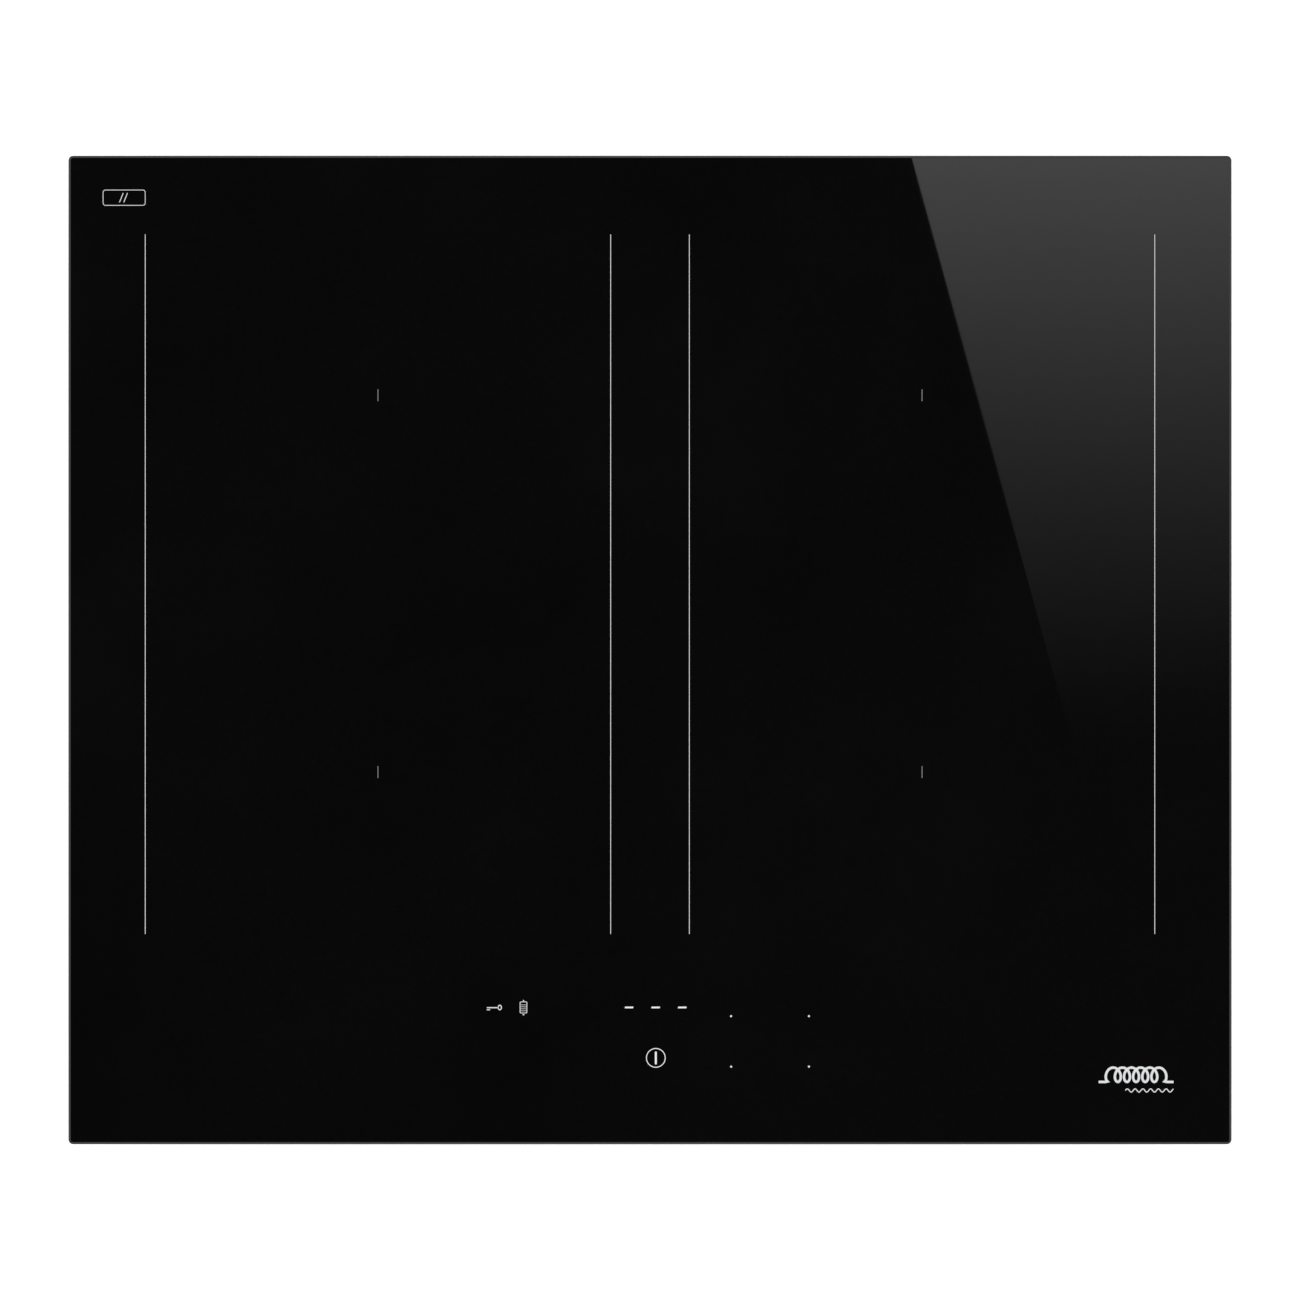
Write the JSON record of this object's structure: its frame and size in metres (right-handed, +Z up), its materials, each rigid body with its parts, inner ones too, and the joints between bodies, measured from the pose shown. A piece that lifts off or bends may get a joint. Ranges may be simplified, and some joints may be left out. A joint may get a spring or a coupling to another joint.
{
  "type": "built-in electric induction cooktop",
  "caption": "Flush black glass induction cooktop with linked cooking areas, front touch controls, coils, blowers and a steel tray that drops into a worktop.",
  "frame": {"origin": "centre of the plan at the lowest face, the tray's floor", "axes": "+Z up out of the glass, +Y to the back, +X to the cook's right"},
  "size_m": [0.6, 0.51, 0.054],
  "materials": {
    "glass_ceramic": "polished black",
    "glass_print": "fine grey-white fired print",
    "lit_symbol": "white light seen through the glass",
    "silicone": "smooth black adhesive",
    "seal_foam": "matt closed-cell foam",
    "galvanised_sheet": "galvanised, faint spangle",
    "aluminium_sheet": "mill finish",
    "heat_sink_aluminium": "extruded",
    "insulation": "matt pressed fibre",
    "coil_former_plastic": "glass-filled, matt",
    "litz_wire": "lacquered copper-clad strands",
    "sensor_ceramic": "matt white",
    "circuit_board": "green solder mask",
    "solder": "bright tin",
    "ferrite": "dark sintered",
    "black_plastic": "fine spark texture",
    "steel_pin": "ground",
    "bearing_bronze": "sintered",
    "frame_plastic": "matt",
    "white_plastic": "satin",
    "grey_plastic": "satin",
    "brass_contact": "nickel-free, bright",
    "zinc_steel": "zinc plated",
    "lead_sleeve": "braided glass sleeve",
    "ribbon": "flat flexible cable",
    "capacitor_film": "dipped resin"
  },
  "bodies": {
    "cooktop": {"glass_panel": "glass_ceramic", "glass_bond": "silicone", "edge_seal": "seal_foam", "bottom_tray": "galvanised_sheet", "support_frame": "galvanised_sheet", "coil_plate_left": "aluminium_sheet", "coil_plate_right": "aluminium_sheet", "heat_sink_left": "heat_sink_aluminium", "heat_sink_right": "heat_sink_aluminium", "insulation_mat": "insulation", "coil_former_rear_left": "coil_former_plastic", "coil_former_rear_right": "coil_former_plastic", "coil_former_front_left": "coil_former_plastic", "coil_former_front_right": "coil_former_plastic", "coil_winding_rear_left": "litz_wire", "coil_winding_rear_right": "litz_wire", "coil_winding_front_left": "litz_wire", "coil_winding_front_right": "litz_wire", "temperature_sensor_rear_left": "sensor_ceramic", "temperature_sensor_rear_right": "sensor_ceramic", "temperature_sensor_front_left": "sensor_ceramic", "temperature_sensor_front_right": "sensor_ceramic", "power_board_left": "circuit_board", "power_board_right": "circuit_board", "filter_board": "circuit_board", "control_board": "circuit_board", "choke": "ferrite", "fan_housing_left": "black_plastic", "fan_housing_right": "black_plastic", "terminal_box": "black_plastic", "terminal_hinge_pin": "steel_pin", "fan_bearing_left": "bearing_bronze", "fan_bearing_right": "bearing_bronze", "control_carrier": "frame_plastic", "display_module": "white_plastic", "terminal_block": "white_plastic", "cable_clamp": "grey_plastic", "clamp_screw_rear_left": "zinc_steel", "clamp_screw_rear_right": "zinc_steel", "clamp_screw_front_left": "zinc_steel", "clamp_screw_front_right": "zinc_steel", "coil_lead_rear_left": "lead_sleeve", "coil_lead_rear_right": "lead_sleeve", "coil_lead_front_left": "lead_sleeve", "coil_lead_front_right": "lead_sleeve", "mains_lead": "lead_sleeve", "ribbon_cable": "ribbon"},
    "fan_left": {"fan_rotor_left": "black_plastic", "fan_shaft_left": "steel_pin"},
    "fan_right": {"fan_rotor_right": "black_plastic", "fan_shaft_right": "steel_pin"},
    "cover": {"terminal_cover": "black_plastic"},
    "nut_rear_left": {"clamp_nut_rear_left": "zinc_steel"},
    "arm_rear_left": {"clamp_arm_rear_left": "zinc_steel"},
    "nut_rear_right": {"clamp_nut_rear_right": "zinc_steel"},
    "arm_rear_right": {"clamp_arm_rear_right": "zinc_steel"},
    "nut_front_left": {"clamp_nut_front_left": "zinc_steel"},
    "arm_front_left": {"clamp_arm_front_left": "zinc_steel"},
    "nut_front_right": {"clamp_nut_front_right": "zinc_steel"},
    "arm_front_right": {"clamp_arm_front_right": "zinc_steel"}
  },
  "joints": [
    {"name": "fan_spin_left", "type": "hinge", "parent": "cooktop", "child": "fan_left", "pos_m": [-0.118, 0.104, 0.015], "axis": [0, 0, 1], "continuous": true},
    {"name": "fan_spin_right", "type": "hinge", "parent": "cooktop", "child": "fan_right", "pos_m": [0.118, 0.104, 0.015], "axis": [0, 0, 1], "continuous": true},
    {"name": "terminal_cover_hinge", "type": "hinge", "parent": "cooktop", "child": "cover", "pos_m": [-0.156, 0.1715, 0.0032], "axis": [-1, 0, 0], "range_deg": [0, 110]},
    {"name": "clamp_lift_rear_left", "type": "slide", "parent": "cooktop", "child": "nut_rear_left", "axis": [0, 0, 1], "range_m": [0, 0.007]},
    {"name": "clamp_swing_rear_left", "type": "hinge", "parent": "nut_rear_left", "child": "arm_rear_left", "pos_m": [-0.25, 0.15, 0.006], "axis": [0, 0, -1], "range_deg": [0, 90]},
    {"name": "clamp_lift_rear_right", "type": "slide", "parent": "cooktop", "child": "nut_rear_right", "axis": [0, 0, 1], "range_m": [0, 0.007]},
    {"name": "clamp_swing_rear_right", "type": "hinge", "parent": "nut_rear_right", "child": "arm_rear_right", "pos_m": [0.25, 0.15, 0.006], "axis": [0, 0, 1], "range_deg": [0, 90]},
    {"name": "clamp_lift_front_left", "type": "slide", "parent": "cooktop", "child": "nut_front_left", "axis": [0, 0, 1], "range_m": [0, 0.007]},
    {"name": "clamp_swing_front_left", "type": "hinge", "parent": "nut_front_left", "child": "arm_front_left", "pos_m": [-0.25, -0.15, 0.006], "axis": [0, 0, 1], "range_deg": [0, 90]},
    {"name": "clamp_lift_front_right", "type": "slide", "parent": "cooktop", "child": "nut_front_right", "axis": [0, 0, 1], "range_m": [0, 0.007]},
    {"name": "clamp_swing_front_right", "type": "hinge", "parent": "nut_front_right", "child": "arm_front_right", "pos_m": [0.25, -0.15, 0.006], "axis": [0, 0, -1], "range_deg": [0, 90]}
  ]
}
